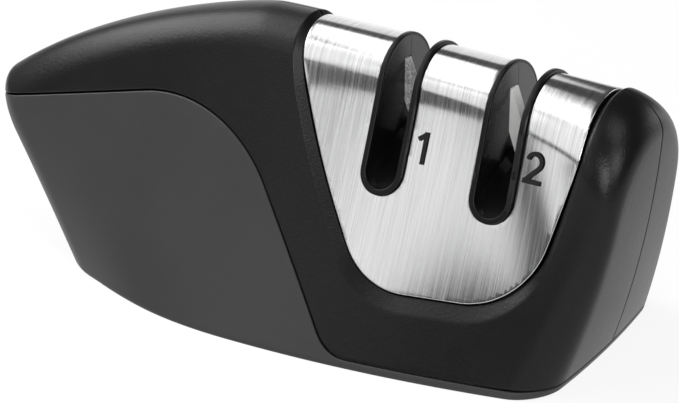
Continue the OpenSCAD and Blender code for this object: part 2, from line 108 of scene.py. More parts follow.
class Graph:
    """Adds nodes to one node tree."""

    def __init__(self, tree: bpy.types.NodeTree) -> None:
        """Clears the tree."""
        self.tree = tree
        tree.nodes.clear()

    def node(
        self,
        kind: str,
        settings: Optional[dict[str, Any]] = None,
        inputs: Optional[dict[Union[int, str], Any]] = None,
        output: Union[int, str] = 0,
    ) -> Sock:
        """Adds a node.

        Args:
            kind: the node's type.
            settings: its properties, set before the sockets.
            inputs: values or links by socket name or number.
            output: the socket that is given back.

        Returns:
            That output.
        """
        made = self.tree.nodes.new(kind)
        for name, value in (settings or {}).items():
            setattr(made, name, value)
        for name, value in (inputs or {}).items():
            if isinstance(value, Sock):
                self.tree.links.new(value.socket, made.inputs[name])
            else:
                socket = made.inputs[name]
                socket.default_value = (*value[:3], 1.0) if socket.type == "RGBA" else value
        outputs = made.outputs
        return Sock(self, outputs[output]) if len(outputs) else Sock(self, None)

    def place(self) -> Sock:
        """The point in the piece's own frame, in metres."""
        return self.node("ShaderNodeTexCoord", output="Object")

    def stretch(self, vector: Sock, by: Colour) -> Sock:
        """The vector times three factors."""
        return self.node("ShaderNodeVectorMath", {"operation": "MULTIPLY"}, {0: vector, 1: by})

    def noise(self, vector: Sock, scale: float, detail: float = 3.0, rough: float = 0.55) -> Sock:
        """Noise from 0 to 1."""
        return self.node(
            "ShaderNodeTexNoise",
            inputs={"Vector": vector, "Scale": scale, "Detail": detail, "Roughness": rough},
        )

    def span(self, value: Sock, low: float, high: float, to_low: float, to_high: float) -> Sock:
        """Maps a value from one range to another and keeps it inside."""
        return self.node(
            "ShaderNodeMapRange",
            {"clamp": True},
            {"Value": value, "From Min": low, "From Max": high,
             "To Min": to_low, "To Max": to_high},
        )

    def blend(self, share: Union[Sock, float], first: Any, second: Any) -> Sock:
        """Mixes two colours."""
        return self.node(
            "ShaderNodeMix", {"data_type": "RGBA"}, {0: share, 6: first, 7: second}, output=2
        )

    def bump(self, height: Sock, strength: float, distance: float) -> Sock:
        """A normal from a height."""
        return self.node(
            "ShaderNodeBump", inputs={"Height": height, "Strength": strength, "Distance": distance}
        )

    def surface(self, inputs: dict[Union[int, str], Any]) -> None:
        """Ends the graph in one principled shader."""
        shader = self.node("ShaderNodeBsdfPrincipled", inputs=inputs, output="BSDF")
        self.node("ShaderNodeOutputMaterial", inputs={"Surface": shader})


@dataclass(frozen=True)
class Finish:
    """A material of one piece, made once."""

    name: str

    def material(self) -> bpy.types.Material:
        """The material, made at its first use."""
        found = bpy.data.materials.get(self.name)
        if found is None:
            found = bpy.data.materials.new(self.name)
            found.use_nodes = True
            self.dress(Graph(found.node_tree))
        return found

    def dress(self, graph: Graph) -> None:
        """Builds the nodes."""
        raise NotImplementedError


@dataclass(frozen=True)
class MouldedPlastic(Finish):
    """Plastic or soft-touch skin with the fine grain of its mould."""

    colour: Colour = (0.0032, 0.0032, 0.0034)
    lighter: Colour = (0.0048, 0.0048, 0.005)
    roughness: float = 0.33
    spread: float = 0.08
    grain: float = 2600.0
    depth: float = 0.1
    specular: float = 0.26
    drift: float = 45.0
    mottle: float = 0.21
    relief: float = 0.0002

    def dress(self, graph: Graph) -> None:
        """Slow colour drift, fine grain in gloss and relief."""
        place = graph.place()
        drift = graph.noise(place, self.drift, 2.0)
        fine = graph.noise(place, self.grain, 2.0, 0.6)
        mottle = graph.noise(place, self.grain * self.mottle, 3.0, 0.6)
        rough = self.roughness + (fine - 0.5) * self.spread + (drift - 0.5) * self.spread
        tone = graph.span(drift * 0.6 + mottle * 0.4, 0.3, 0.7, 0.0, 1.0)
        graph.surface(
            {
                "Base Color": graph.blend(tone, self.colour, self.lighter),
                "Roughness": rough,
                "Specular IOR Level": self.specular,
                "Normal": graph.bump(fine * 0.7 + mottle * 0.5, self.depth, self.relief),
            }
        )


@dataclass(frozen=True)
class BrushedSteel(Finish):
    """Stainless sheet brushed in one direction, round the arch."""

    colour: Colour = (0.7, 0.7, 0.705)
    darker: Colour = (0.5, 0.5, 0.505)
    roughness: float = 0.16
    spread: float = 0.1
    depth: float = 0.05
    relief: float = 0.0001
    hair: Colour = (5200.0, 60.0, 60.0)
    line: Colour = (1500.0, 22.0, 22.0)
    band: Colour = (260.0, 9.0, 9.0)

    def dress(self, graph: Graph) -> None:
        """Long streaks in colour, gloss and relief."""
        place = graph.place()
        hair = graph.noise(graph.stretch(place, self.hair), 1.0, 2.0, 0.6)
        line = graph.noise(graph.stretch(place, self.line), 1.0, 3.0, 0.6)
        band = graph.noise(graph.stretch(place, self.band), 1.0, 2.0)
        streak = hair * 0.5 + line * 0.35 + band * 0.15
        tone = graph.span(streak, 0.38, 0.62, 0.0, 1.0)
        rough = self.roughness + (line - 0.5) * self.spread + (hair - 0.5) * self.spread
        graph.surface(
            {
                "Base Color": graph.blend(tone, self.darker, self.colour),
                "Metallic": 1.0,
                "Roughness": rough,
                "Normal": graph.bump(hair * 0.6 + line * 0.4, self.depth, self.relief),
            }
        )


@dataclass(frozen=True)
class AbrasiveGrit(Finish):
    """Steel plate with a coat of abrasive grains."""

    colour: Colour = (0.3, 0.3, 0.3)
    sparkle: Colour = (0.8, 0.8, 0.79)
    metallic: float = 0.35
    grains: float = 3300.0
    cloud: float = 700.0

    def dress(self, graph: Graph) -> None:
        """Grains as cells of different brightness, standing out of the binder."""
        place = graph.place()
        cells = {"Vector": place, "Scale": self.grains}
        tone = graph.node("ShaderNodeTexVoronoi", inputs=cells, output="Color")
        edge = graph.node("ShaderNodeTexVoronoi", inputs=cells, output="Distance")
        tone = graph.node("ShaderNodeSeparateColor", inputs={0: tone})
        cloud = graph.noise(place, self.cloud)
        bright = graph.span(tone + cloud * 0.4, 0.25, 1.2, 0.0, 1.0)
        graph.surface(
            {
                "Base Color": graph.blend(bright, self.colour, self.sparkle),
                "Metallic": self.metallic,
                "Roughness": 0.4 + tone * 0.3,
                "Normal": graph.bump(1 - edge, 0.7, 0.0002),
            }
        )


@dataclass(frozen=True)
class WhiteCeramic(Finish):
    """Fired white ceramic, slightly uneven."""

    colour: Colour = (0.86, 0.86, 0.85)
    shade: Colour = (0.76, 0.76, 0.75)
    cloud: float = 320.0
    ground: float = 4200.0

    def dress(self, graph: Graph) -> None:
        """Faint clouding and a fine ground surface."""
        place = graph.place()
        cloud = graph.noise(place, self.cloud)
        ground = graph.noise(place, self.ground, 2.0)
        tone = graph.span(cloud, 0.3, 0.7, 0.0, 1.0)
        graph.surface(
            {
                "Base Color": graph.blend(tone, self.shade, self.colour),
                "Roughness": 0.34 + cloud * 0.16,
                "Normal": graph.bump(ground, 0.05, 0.0001),
            }
        )


@dataclass(frozen=True)
class MarkInk(Finish):
    """Black printing ink on steel."""

    colour: Colour = (0.008, 0.008, 0.008)
    worn: Colour = (0.016, 0.016, 0.016)
    specular: float = 0.2
    patches: float = 1800.0

    def dress(self, graph: Graph) -> None:
        """Slightly patchy ink."""
        patch = graph.noise(graph.place(), self.patches)
        tone = graph.span(patch, 0.45, 0.8, 0.0, 1.0)
        graph.surface(
            {
                "Base Color": graph.blend(tone, self.colour, self.worn),
                "Roughness": 0.5 + patch * 0.2,
                "Specular IOR Level": self.specular,
            }
        )


@dataclass(frozen=True)
class PaleSweep(Finish):
    """Studio floor that reads as white."""

    colour: Colour = (0.93, 0.93, 0.93)
    glow: float = 0.86

    def dress(self, graph: Graph) -> None:
        """Matte paper, white to the camera and in reflections, that keeps a soft shadow."""
        paper = graph.node("ShaderNodeBsdfDiffuse", inputs={"Color": self.colour}, output="BSDF")
        white = graph.node("ShaderNodeEmission", inputs={"Strength": 1.0}, output="Emission")
        rays = [graph.node("ShaderNodeLightPath", output=f"Is {kind} Ray")
                for kind in ("Camera", "Glossy", "Transmission")]
        share = (rays[0] + rays[1] + rays[2]) * self.glow
        mixed = graph.node("ShaderNodeMixShader", inputs={0: share, 1: paper, 2: white})
        graph.node("ShaderNodeOutputMaterial", inputs={"Surface": mixed})


SHELL_BLACK = MouldedPlastic("shell_black_satin", grain=2000.0, depth=0.3)
BOOT_GREY = MouldedPlastic(
    "boot_grey_soft_touch", colour=(0.024, 0.024, 0.025), lighter=(0.029, 0.029, 0.03),
    roughness=0.42, spread=0.08, grain=3400.0, depth=0.12, specular=0.4,
)
CARTRIDGE_BLACK = MouldedPlastic(
    "cartridge_black_satin", roughness=0.26, depth=0.05, specular=0.5,
)
RIM_BLACK = MouldedPlastic("rim_black_moulding", roughness=0.3, depth=0.05, specular=0.2)
INNER_BLACK = MouldedPlastic("inner_black_moulding", roughness=0.55)
PAD_RUBBER = MouldedPlastic(
    "pad_rubber_matte", colour=(0.03, 0.03, 0.031), lighter=(0.042, 0.042, 0.043),
    roughness=0.8, grain=1500.0, depth=0.2, specular=0.3,
)
COVER_STEEL = BrushedSteel("cover_steel_brushed")
FASTENER_STEEL = BrushedSteel("fastener_steel_plain", roughness=0.35, spread=0.06)
COARSE_GRIT = AbrasiveGrit("coarse_plate_grit")
FINE_CERAMIC = WhiteCeramic("fine_plate_ceramic")
MARK_BLACK = MarkInk("stage_mark_ink")
SWEEP_WHITE = PaleSweep("studio_sweep")


# Forms


@dataclass(frozen=True)
class BodyForm:
    """The humped body, as sections along X. The values are those of the solids."""

    tail_l: float = 54.0
    nose_l: float = 63.4
    body_w: float = 56.8
    skirt_flare: float = 4.7
    skirt_h: float = 48.0
    skirt_power: float = 2.2
    tail_taper: float = 0.41
    nose_taper: float = 0.265
    tail_bulge: float = 13.9
    nose_bulge: float = 1.7
    tail_round: float = 5.2
    nose_round: float = 6.8
    tail_lean: float = 0.742
    nose_lean: float = 0.3
    curl: float = 0.0029
    hump_x: float = 8.5
    hump_h: float = 56.5
    tail_h: float = 30.3
    nose_h: float = 50.8
    tail_fall: float = 1.34
    nose_fall: float = 1.27
    crown_r_tail: float = 12.0
    crown_r_mid: float = 10.0
    crown_r_nose: float = 19.0
    crown_nose_power: float = 6.0
    wall_steps: int = 46
    crown_steps: int = 26
    round_steps: int = 12
    body_steps: int = 150
    cap_steps: int = 14
    cap_start: float = 0.004

    def along(self, x: np.ndarray) -> np.ndarray:
        """Position along the body, -1 at the tail and 1 at the nose."""
        return np.where(x < 0, x / self.tail_l, x / self.nose_l)

    def crown_z(self, x: np.ndarray) -> np.ndarray:
        """Height of the crown of the section at x."""
        back = np.clip((self.hump_x - x) / (self.hump_x + self.tail_l), 0, 1) ** self.tail_fall
        ahead = np.clip((x - self.hump_x) / (self.nose_l - self.hump_x), 0, 1) ** self.nose_fall
        to_tail, to_nose = self.hump_h - self.tail_h, self.hump_h - self.nose_h
        return self.hump_h - to_tail * back - to_nose * ahead

    def flare(self, z: np.ndarray) -> np.ndarray:
        """How far the skirt stands out at the height z."""
        return self.skirt_flare * np.clip(1 - z / self.skirt_h, 0, None) ** self.skirt_power

    def stations(self, inset: float) -> tuple[np.ndarray, np.ndarray, np.ndarray]:
        """Sections from the tail to the nose.

        Args:
            inset: how far the form is drawn in.

        Returns:
            The station, the inset and the scale of each section.
        """
        tail, nose = -self.tail_l + inset, self.nose_l - inset
        tail_r, nose_r = max(1.0, self.tail_round - inset), max(1.0, self.nose_round - inset)
        share = np.linspace(self.cap_start, 1, self.cap_steps)[:-1]
        turn = np.radians(np.linspace(90, 0, self.round_steps + 1))
        run = np.linspace(tail + tail_r, nose - nose_r, self.body_steps + 1)[1:-1]
        x = [tail + 0 * share, tail + tail_r * (1 - np.sin(turn)), run,
             nose - nose_r * (1 - np.sin(turn[::-1])), nose + 0 * share]
        i = [inset + tail_r + 0 * share, inset + tail_r * (1 - np.cos(turn)), inset + 0 * run,
             inset + nose_r * (1 - np.cos(turn[::-1])), inset + nose_r + 0 * share]
        k = [share, 1 + 0 * turn, 1 + 0 * run, 1 + 0 * turn, share[::-1]]
        return np.concatenate(x), np.concatenate(i), np.concatenate(k)

    def grid(self, inset: float) -> np.ndarray:
        """Points of the form drawn in by inset, section by section from front foot to rear foot.

        Args:
            inset: how far the form is drawn in.

        Returns:
            An array of sections by points by three.
        """
        x, inset_at, scale = self.stations(inset)
        u = self.along(x)
        tail = x < 0
        taper = np.where(tail, self.tail_taper, self.nose_taper)
        b = self.body_w / 2 * (1 - taper * u**2) - inset_at
        h = self.crown_z(x) - inset_at
        end_r = np.where(tail, self.crown_r_tail, self.crown_r_nose)
        power = np.where(tail, 2.0, self.crown_nose_power)
        grown = (end_r - self.crown_r_mid) * np.abs(u) ** power
        r = np.maximum(1.0, self.crown_r_mid + grown - inset_at)
        cz = h - r
        tilt = math.pi / 2 - np.arctan2(cz, b) - np.arcsin(r / np.hypot(b, cz))
        ty, tz = r * np.cos(tilt), cz + r * np.sin(tilt)
        up = np.linspace(0, 1, self.wall_steps + 1)[:-1]
        over = np.linspace(0, 1, self.crown_steps + 1)
        turn = tilt[:, None] + (math.pi / 2 - tilt)[:, None] * over
        y = np.hstack([b[:, None] + (ty - b)[:, None] * up, r[:, None] * np.cos(turn)])
        z = np.hstack([tz[:, None] * up, cz[:, None] + r[:, None] * np.sin(turn)])
        y = y + self.flare(z)
        y[:, -1] = 0.0
        y = np.hstack([-y, y[:, -2::-1]]) * scale[:, None]
        z = np.hstack([z, z[:, -2::-1]]) * scale[:, None]
        w = ((u + 1) / 2)[:, None]
        lean = self.nose_lean * w - self.tail_lean * (1 - w)
        bulge = (np.where(tail, -self.tail_bulge, self.nose_bulge) * u**2)[:, None]
        along = x[:, None] + lean * z - self.curl * z**2 - bulge * (2 * y / self.body_w) ** 2
        return np.stack([along, y, z], axis=2)

    def section_at(self, grid: np.ndarray, x: float) -> np.ndarray:
        """Where the plane at x cuts a grid, as [y, z] from front foot to rear foot."""
        skip = self.cap_steps - 1
        run = grid[skip:-skip]
        return np.array([[np.interp(x, run[:, i, 0], run[:, i, c]) for c in (1, 2)]
                         for i in range(run.shape[1])])

    def front_y(self, grid: np.ndarray, x: float, z: float, side: Side = Side.FRONT) -> float:
        """Y of the grid's front or rear face at the point x, z of the front view."""
        cut = self.section_at(grid, x)
        middle = (len(cut) - 1) // 2
        half = cut[: middle + 1] if side is Side.FRONT else cut[: middle - 1 : -1]
        return float(np.interp(z, half[:, 1], half[:, 0]))


@dataclass(frozen=True)
class RoundedPath:
    """A front-view outline through corners given as (x, z, radius)."""

    corners: tuple[tuple[float, float, float], ...]
    steps: int = 24

    def line(self) -> np.ndarray:
        """The outline as points, without closing it."""
        points: list[np.ndarray] = []
        flat = [np.array(c[:2]) for c in self.corners]
        for i, (v, corner) in enumerate(zip(flat, self.corners)):
            if corner[2] == 0 or i in (0, len(flat) - 1):
                points.append(v)
                continue
            a, b = flat[i - 1] - v, flat[i + 1] - v
            a, b = a / np.linalg.norm(a), b / np.linalg.norm(b)
            half = math.acos(float(a @ b)) / 2
            middle = v + (a + b) / np.linalg.norm(a + b) * corner[2] / math.sin(half)
            s, e = (v + d * corner[2] / math.tan(half) - middle for d in (a, b))
            start = math.atan2(s[1], s[0])
            turn = (math.atan2(e[1], e[0]) - start + 3 * math.pi) % (2 * math.pi) - math.pi
            angles = start + turn * np.linspace(0, 1, self.steps + 1)
            points.extend(middle + corner[2] * np.array([math.cos(t), math.sin(t)]) for t in angles)
        return np.array(points)

    def distance(self, points: np.ndarray) -> np.ndarray:
        """Distance of points from the line, positive on its right-hand side.

        Args:
            points: points by three.

        Returns:
            One distance each.
        """
        line = self.line()
        start, step = line[:-1], np.diff(line, axis=0)
        flat = points[:, [0, 2]]
        best = np.full(len(flat), np.inf)
        sign = np.ones(len(flat))
        for s, d in zip(start, step):
            rel = flat - s
            t = np.clip(rel @ d / (d @ d), 0, 1)
            off = rel - t[:, None] * d
            far = np.hypot(off[:, 0], off[:, 1])
            near = far < best - 1e-9
            best = np.where(near, far, best)
            right = d[1] * rel[:, 0] - d[0] * rel[:, 1] >= 0
            sign = np.where(near, np.where(right, 1.0, -1.0), sign)
        return best * sign


BODY = BodyForm()
HIGH = 130.0
WIDE = 120.0
HEAD_PATH = RoundedPath(
    ((1.2, HIGH, 0), (1.2, 50.5, 33), (10.4, 31.9, 120), (24.0, 13.1, 15.6), (55.3, 14.5, 15.6),
     (61.5, 42.1, 15.6), (61.5, HIGH, 0))
)
BOOT_PATH = RoundedPath(
    ((-WIDE, 23.6, 0), (-95.0, 23.6, 0), (-13.4, 42.1, 33), (20.6, 1.5, 9), (WIDE, 1.5, 0))
)
PARTING_Y = 1.5
PARTING_GAP = 0.3
SHELL_GAP = 0.3
WALL = 2.4
LIP_DEPTH = WALL - 0.3
LIP_REACH = 0.2


@dataclass(frozen=True)
class SlotForm:
    """A knife slot in the front view: straight sides on a round bottom."""

    x: float
    low_z: float
    width: float = 6.4

    @property
    def turn_z(self) -> float:
        """Height where the sides meet the round bottom."""
        return self.low_z + self.width / 2

    def distance(self, points: np.ndarray) -> np.ndarray:
        """Distance of points from the slot's edge, positive outside."""
        dx, dz = points[:, 0] - self.x, np.minimum(points[:, 2] - self.turn_z, 0.0)
        return np.hypot(dx, dz) - self.width / 2

    def loop(
        self, grow: float, inset: float, side_steps: int = 70, round_steps: int = 24
    ) -> np.ndarray:
        """The slot's edge on the body.

        Args:
            grow: how far outside the slot the loop runs.
            inset: depth below the body's surface.
            side_steps: points along each side, over the crown.
            round_steps: points round each bottom.

        Returns:
            A closed loop of points, up the left side to the rear first.
        """
        grid = BODY.grid(inset)
        r = self.width / 2 + grow
        points: list[tuple[float, float, float]] = []
        for x, side in ((self.x - r, Side.FRONT), (self.x + r, Side.REAR)):
            cut = BODY.section_at(grid, x)
            if side is Side.REAR:
                cut = cut[::-1]
            middle = (len(cut) - 1) // 2
            ends = [np.interp(self.turn_z, half[:, 1], half[:, 0]) for half in
                    (cut[: middle + 1], cut[: middle - 1 : -1])]
            inside = cut[cut[:, 1] > self.turn_z + 0.05]
            run = np.vstack([[ends[0], self.turn_z], inside, [ends[1], self.turn_z]])
            length = np.concatenate([[0], np.cumsum(np.hypot(*np.diff(run, axis=0).T))])
            at = np.linspace(0, length[-1], side_steps)
            ys, zs = (np.interp(at, length, run[:, c]) for c in (0, 1))
            points += [(x, y, z) for y, z in zip(ys, zs)]
            far = Side.REAR if side is Side.FRONT else Side.FRONT
            way = 1 if side is Side.FRONT else -1
            for t in np.linspace(0, math.pi, round_steps + 2)[1:-1]:
                px, pz = self.x - way * r * math.cos(t), self.turn_z - r * math.sin(t)
                points.append((px, BODY.front_y(grid, px, pz, far), pz))
        return np.array(points)


SLOTS = {Stage.COARSE: SlotForm(23.2, 30.0), Stage.FINE: SlotForm(45.6, 29.0)}
LINER_T = 1.0
COVER_RECESS = 0.6


# Meshes


@dataclass
class Edge:
    """An edge that a skin is cut along, with the lip that it turns in."""

    distance: Field
    profile: Profile


def rounded_lip(radius: float, depth: float) -> Profile:
    """A lip that turns in on a radius.

    Args:
        radius: the radius, by which the skin is cut short.
        depth: how deep the lip goes.

    Returns:
        The lip's lines for given points, normals and outward directions.
    """
    turns = [math.radians(a) for a in (15, 30, 45, 60, 75, 90)]
    offsets = [(radius * math.sin(a), radius * (1 - math.cos(a))) for a in turns]
    offsets.append((radius, depth))

    def lines(p: np.ndarray, n: np.ndarray, out: np.ndarray) -> list[np.ndarray]:
        """Lines of the lip, from the skin inwards."""
        return [p + out * a - n * d for a, d in offsets]

    return lines


def standing_lip(radius: float, depth: float, lowest: float = 0.02) -> Profile:
    """A rounded lip that is flat underneath, so that it stands on the floor.

    Args:
        radius: the radius, by which the skin is cut short.
        depth: how deep the lip goes.
        lowest: height of the flat underside.

    Returns:
        The lip's lines for given points, normals and outward directions.
    """
    rounded = rounded_lip(radius, depth)

    def lines(p: np.ndarray, n: np.ndarray, out: np.ndarray) -> list[np.ndarray]:
        """Lines of the lip, from the skin inwards."""
        made = rounded(p, n, out)
        for line in made:
            line[:, 2] = np.maximum(line[:, 2], lowest)
        return made

    return lines


def slope(distance: Field, p: np.ndarray, step: float = 0.02) -> np.ndarray:
    """Gradient of a distance at points."""
    parts = []
    for axis in np.eye(3) * step:
        parts.append((distance(p + axis) - distance(p - axis)) / (2 * step))
    return np.stack(parts, axis=1)


class Skin:
    """A sheet of the body's form with a thickness, cut along edges."""

    def __init__(self, outer: float, inner: float, press: Optional[Field] = None) -> None:
        """Starts from the whole form, drawn in by outer and pressed in further, backed at inner."""
        top, back = BODY.grid(outer), BODY.grid(inner)
        rows, columns = top.shape[:2]
        normal = self.normals(top)
        if press is not None:
            top = top - normal * press(top)[..., None]
            normal = self.normals(top)
        self.data = np.concatenate([top, back, normal], axis=2).reshape(-1, 9)
        index = np.arange(rows * columns).reshape(rows, columns)
        quads = np.stack([index[:-1, :-1], index[1:, :-1], index[1:, 1:], index[:-1, 1:]], axis=2)
        self.faces: list[tuple[int, ...]] = [tuple(q) for q in quads.reshape(-1, 4).tolist()]
        self.edges: list[Edge] = []

    @staticmethod
    def normals(grid: np.ndarray) -> np.ndarray:
        """Outward directions at a grid's points."""
        normal = np.cross(np.gradient(grid, axis=0), np.gradient(grid, axis=1))
        return normal / np.maximum(np.linalg.norm(normal, axis=2, keepdims=True), 1e-9)

    def cut(self, edge: Edge, snap: float = 0.04) -> None:
        """Keeps what lies at positive distance from an edge.

        Args:
            edge: the edge.
            snap: corners nearer than this are taken to lie on it.
        """
        far = edge.distance(self.data[:, :3])
        far[np.abs(far) < snap] = 0.0
        state = far.tolist()
        rows = [self.data]
        made: dict[tuple[int, int], int] = {}
        count = len(self.data)
        kept: list[tuple[int, ...]] = []
        extra: list[np.ndarray] = []
        for face in self.faces:
            values = [state[i] for i in face]
            if min(values) >= 0:
                if max(values) > 0:
                    kept.append(face)
                continue
            if max(values) <= 0:
                continue
            ring: list[int] = []
            for i, j in zip(face, face[1:] + face[:1]):
                if state[i] >= 0:
                    ring.append(i)
                if state[i] * state[j] < 0:
                    key = (min(i, j), max(i, j))
                    if key not in made:
                        t = state[key[0]] / (state[key[0]] - state[key[1]])
                        extra.append(self.data[key[0]] * (1 - t) + self.data[key[1]] * t)
                        made[key] = count
                        count += 1
                    ring.append(made[key])
            if len(ring) > 2:
                kept.append(tuple(ring))
        if extra:
            rows.append(np.array(extra))
        self.data = np.vstack(rows)
        self.faces = kept
        self.edges.append(edge)

    def solid(self) -> tuple[np.ndarray, list[tuple[int, ...]]]:
        """Closes the sheet with its back and its lips.

        Returns:
            Points in millimetres and faces.
        """
        used = np.unique(np.concatenate([np.array(f) for f in self.faces]))
        renumber = {int(o): i for i, o in enumerate(used)}
        faces = [tuple(renumber[i] for i in f) for f in self.faces]
        data = self.data[used]
        count = len(data)
        points = [data[:, :3], data[:, 3:6]]
        out = faces + [tuple(i + count for i in reversed(f)) for f in faces]
        border: dict[tuple[int, int], None] = {}
        for f in faces:
            for i, j in zip(f, f[1:] + f[:1]):
                if (j, i) in border:
                    del border[(j, i)]
                else:
                    border[(i, j)] = None
        total = 2 * count
        rim = list(border)
        ends = np.array(sorted({i for pair in rim for i in pair}))
        row = {int(i): r for r, i in enumerate(ends)}
        p, n = data[ends, :3], data[ends, 6:9]
        far = np.stack([np.abs(e.distance(p)) for e in self.edges], axis=1)
        lips: list[list[int]] = []
        for edge in self.edges:
            g = slope(edge.distance, p)
            flat = -(g - np.sum(g * n, axis=1, keepdims=True) * n)
            flat /= np.maximum(np.linalg.norm(flat, axis=1, keepdims=True), 1e-9)
            starts = []
            for line in edge.profile(p, n, flat):
                points.append(line)
                starts.append(total)
                total += len(line)
            lips.append(starts)
        entering: dict[int, list[int]] = {}
        leaving: dict[int, list[int]] = {}
        for i, j in rim:
            a, b = row[i], row[j]
            worst = np.maximum(far[a], far[b])
            which = int(np.argmin(worst))
            chain = [(i, j)]
            if worst[which] < LIP_REACH:
                chain += [(s + a, s + b) for s in lips[which]]
            chain.append((i + count, j + count))
            for (a0, b0), (a1, b1) in zip(chain, chain[1:]):
                out.append((b0, a0, a1, b1))
            entering[j], leaving[i] = [pair[1] for pair in chain], [pair[0] for pair in chain]
        for corner, down in entering.items():
            other = leaving[corner]
            if down != other:
                out.append(tuple(down + other[-2:0:-1]))
        return np.vstack(points), out


def make_piece(
    name: str,
    points: np.ndarray,
    faces: Sequence[Sequence[int]],
    finish: Finish,
    body: str,
    slot: str,
    stands_for: Sequence[str] = (),
    crease: float = 24.0,
) -> bpy.types.Object:
    """Makes one piece of the object.

    Args:
        name: its name.
        points: its points in millimetres.
        faces: its faces.
        finish: its material.
        body: the body that it moves with.
        slot: not used.
        stands_for: solids that it is shown instead of.
        crease: angle in degrees above which an edge stays sharp.

    Returns:
        The object.
    """
    mesh = bpy.data.meshes.new(name)
    mesh.from_pydata((points * MM).tolist(), [], [list(f) for f in faces])
    worked = bmesh.new()
    worked.from_mesh(mesh)
    loose = [v for v in worked.verts if not v.link_faces]
    bmesh.ops.delete(worked, geom=loose, context="VERTS")
    worked.to_mesh(mesh)
    worked.free()
    mesh.validate()
    mesh.shade_smooth()
    mesh.set_sharp_from_angle(angle=math.radians(crease))
    mesh.materials.append(finish.material())
    made = bpy.data.objects.new(name, mesh)
    bpy.context.scene.collection.objects.link(made)
    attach(made, body)
    if stands_for:
        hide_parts(*stands_for)
    LOG.info("%s: %d faces on %s", name, len(mesh.polygons), body)
    return made


# Sub-assemblies


@dataclass
class ShellPair:
    """The black halves of the body, with the bevel round the head."""

    lip_r: float = 0.22
    seam_r: float = 0.14
    head_gap: float = 0.5
    bevel_w: float = 1.1
    bevel_drop: float = 1.7
    bevel_d: float = 1.1
    soft: float = 0.22
    gap_wall: float = 0.7
    bevel_steps: tuple[float, ...] = (
        0.04, 0.08, 0.12, 0.17, 0.22, 0.35, 0.5, 0.65, 0.8, 0.92, 1.0
    )

    def bevel(self, p: np.ndarray, n: np.ndarray, out: np.ndarray) -> list[np.ndarray]:
        """Lines of the bevel, from the skin down to the gap round the head."""
        g = slope(HEAD_PATH.distance, p)
        fall = np.minimum(np.sum(g * out, axis=1), -0.3)
        run = np.full(len(p), self.bevel_w)
        for _ in range(4):
            q = p + out * run[:, None] - n * self.bevel_d
            run = np.clip(run - (HEAD_PATH.distance(q) - self.head_gap) / fall, 0.5, 9.0)
        steep = 1 / (1 - self.soft / 2)
        lines = []
        for t in self.bevel_steps:
            d = steep * (t * t / (2 * self.soft) if t < self.soft else t - self.soft / 2)
            lines.append(p + out * (run * t)[:, None] - n * (self.bevel_d * d))
        down = -n + np.sum(n * g, axis=1, keepdims=True) * g
        lines.append(lines[-1] + down * self.gap_wall)
        return lines

    def edges(self, side: Side) -> list[Edge]:
        """Edges of one half: the boot's line, the bevel and the parting plane."""
        way = side.value
        low = np.array([0.0, 0.0, self.bevel_drop])
        return [
            Edge(lambda q: -BOOT_PATH.distance(q) - SHELL_GAP - self.lip_r,
                 rounded_lip(self.lip_r, LIP_DEPTH)),
            Edge(lambda q: HEAD_PATH.distance(q + low) - self.head_gap - self.bevel_w, self.bevel),
            Edge(lambda q: way * (q[:, 1] - PARTING_Y) - PARTING_GAP / 2 - self.seam_r,
                 rounded_lip(self.seam_r, LIP_DEPTH)),
        ]

    def build(self) -> None:
        """Makes both halves."""
        for side, node in ((Side.FRONT, "front_shell"), (Side.REAR, "rear_shell")):
            skin = Skin(0.0, WALL)
            for edge in self.edges(side):
                skin.cut(edge)
            make_piece(f"{node}_skin", *skin.solid(), SHELL_BLACK, "body", "shell_black", [node])


@dataclass
class GripBoot:
    """The grey soft-touch boot round the handle and the foot."""

    lip_r: float = 0.3
    foot_r: float = 0.6

    def build(self) -> None:
        """Makes the boot."""
        skin = Skin(0.0, WALL)
        lip, foot = rounded_lip(self.lip_r, LIP_DEPTH), standing_lip(self.foot_r, LIP_DEPTH)
        skin.cut(Edge(lambda q: BOOT_PATH.distance(q) - self.lip_r, lip))
        skin.cut(Edge(lambda q: q[:, 2] - self.foot_r, foot))
        make_piece("grip_boot_skin", *skin.solid(), BOOT_GREY, "body", "boot_grey", ["grip_boot"])


@dataclass
class SteelSaddle:
    """The brushed cover of the head, with its two slots."""

    sheet_t: float = 0.8
    fold_r: float = 0.2
    slot_gap: float = 0.14
    press_d: float = 0.36
    press_z: tuple[float, float, float] = (16.0, 44.9, 50.2)

    def press(self, points: np.ndarray) -> np.ndarray:
        """How far the sheet is pressed in below the arch, so that it stands more upright there."""
        low, most, high = self.press_z
        t = np.clip((high - points[..., 2]) / (high - most), 0, 1)
        fade = np.clip((points[..., 2] - low) / (most - low), 0, 1)
        return self.press_d * t * t * (3 - 2 * t) * fade

    def build(self) -> None:
        """Makes the saddle."""
        lip = rounded_lip(self.fold_r, self.sheet_t - 0.1)
        skin = Skin(COVER_RECESS, COVER_RECESS + self.sheet_t, self.press)
        skin.cut(Edge(lambda q: -HEAD_PATH.distance(q) - self.fold_r, lip))
        grow = LINER_T + self.slot_gap + self.fold_r
        for form in SLOTS.values():
            skin.cut(Edge(lambda q, form=form: form.distance(q) - grow, lip))
        make_piece("steel_cover_skin", *skin.solid(), COVER_STEEL, "head", "cover_steel",
                   ["steel_cover"])


